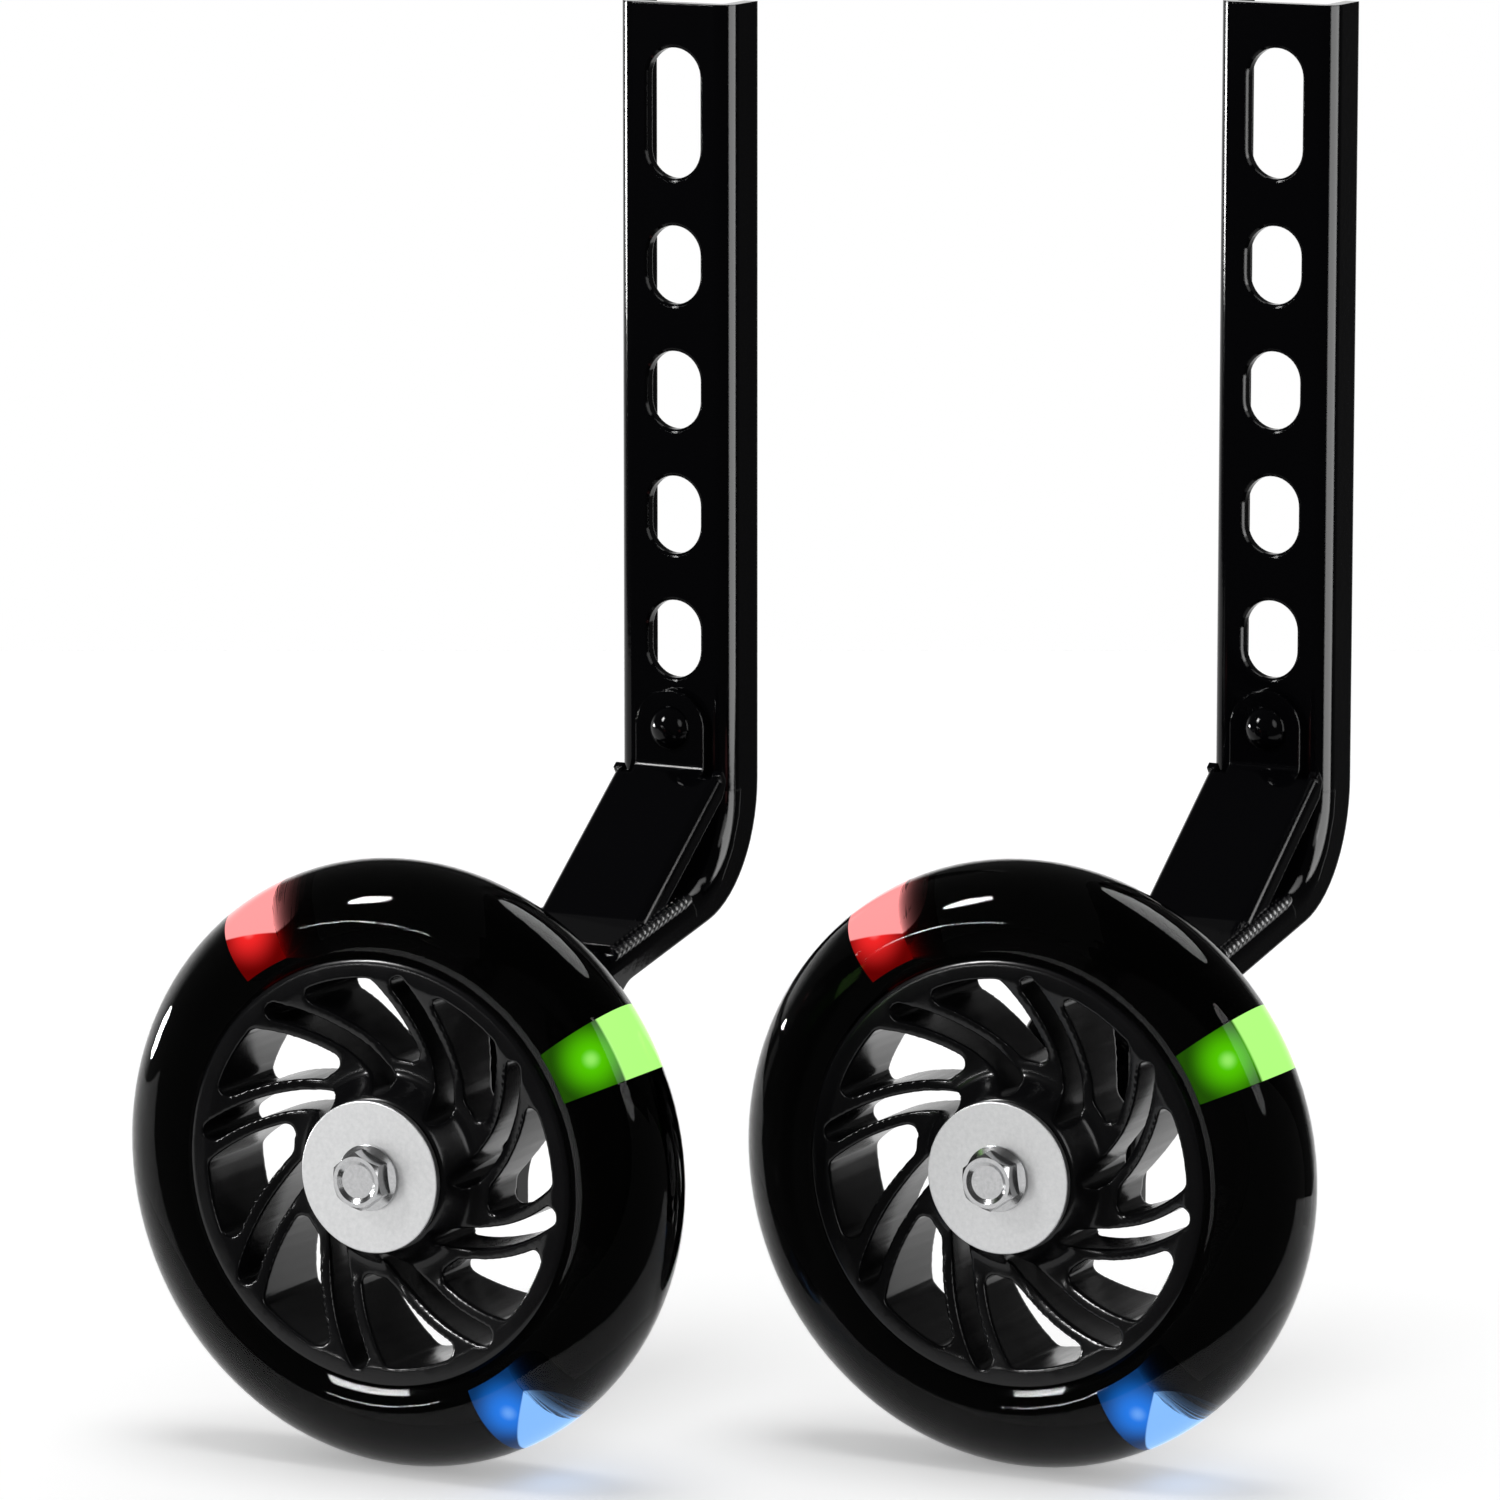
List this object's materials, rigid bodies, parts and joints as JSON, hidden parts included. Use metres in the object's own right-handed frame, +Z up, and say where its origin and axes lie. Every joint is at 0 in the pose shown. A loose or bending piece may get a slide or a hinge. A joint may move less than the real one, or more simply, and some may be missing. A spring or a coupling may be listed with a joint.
{
  "type": "bicycle training wheels",
  "caption": "Pair of bicycle training wheels: slotted black channel arms with riveted braces, spoked black wheels and light-up segments in the tyres.",
  "frame": {"origin": "middle of the row of four short slots on the left arm, on the outboard face of its web", "axes": "+X across the left arm towards the right unit, +Y inboard through the web towards the bicycle, +Z up along the arm"},
  "size_m": [0.228, 0.1981, 0.2768],
  "materials": {
    "arm_black": "gloss black powder coat",
    "weld_black": "gloss black over weld beads",
    "zinc": "mottled bright zinc",
    "bearing_steel": "ground steel",
    "ball_steel": "polished",
    "cage_nylon": "natural nylon",
    "magnet": "sintered",
    "core_black": "gloss black nylon",
    "smoky_urethane": "smoky, nearly opaque cast urethane",
    "red_urethane": "clear tinted",
    "green_urethane": "clear tinted",
    "blue_urethane": "clear tinted",
    "board_green": "solder mask",
    "led_clear": "water clear"
  },
  "bodies": {
    "brackets": {"left_arm": "arm_black", "left_brace": "arm_black", "left_brace_rivet": "arm_black", "left_brace_welds": "weld_black", "left_axle_bolt": "zinc", "left_outer_washer": "zinc", "left_axle_sleeve": "zinc", "left_jam_nut": "zinc", "left_back_washer": "zinc", "left_lock_nut": "zinc", "left_magnet_ring": "magnet", "left_bearing_inner_rings": "bearing_steel", "right_arm": "arm_black", "right_brace": "arm_black", "right_brace_rivet": "arm_black", "right_brace_welds": "weld_black", "right_axle_bolt": "zinc", "right_outer_washer": "zinc", "right_axle_sleeve": "zinc", "right_jam_nut": "zinc", "right_back_washer": "zinc", "right_lock_nut": "zinc", "right_magnet_ring": "magnet", "right_bearing_inner_rings": "bearing_steel"},
    "left_wheel": {"left_bearing_outer_rings": "bearing_steel", "left_bearing_balls": "ball_steel", "left_bearing_cages": "cage_nylon", "left_bearing_shields": "bearing_steel", "left_core_hub": "core_black", "left_core_spokes": "core_black", "left_core_rim": "core_black", "left_tyre": "smoky_urethane", "left_red_lens": "red_urethane", "left_green_lens": "green_urethane", "left_blue_lens": "blue_urethane", "left_lamp_boards": "board_green", "left_lamp_leds": "led_clear"},
    "right_wheel": {"right_bearing_outer_rings": "bearing_steel", "right_bearing_balls": "ball_steel", "right_bearing_cages": "cage_nylon", "right_bearing_shields": "bearing_steel", "right_core_hub": "core_black", "right_core_spokes": "core_black", "right_core_rim": "core_black", "right_tyre": "smoky_urethane", "right_red_lens": "red_urethane", "right_green_lens": "green_urethane", "right_blue_lens": "blue_urethane", "right_lamp_boards": "board_green", "right_lamp_leds": "led_clear"}
  },
  "joints": [
    {"name": "left_wheel_spin", "type": "hinge", "parent": "brackets", "child": "left_wheel", "pos_m": [0, -0.1118, -0.1255], "axis": [0, 1, 0], "continuous": true},
    {"name": "right_wheel_spin", "type": "hinge", "parent": "brackets", "child": "right_wheel", "pos_m": [0.108, -0.0568, -0.1255], "axis": [0, 1, 0], "continuous": true}
  ]
}
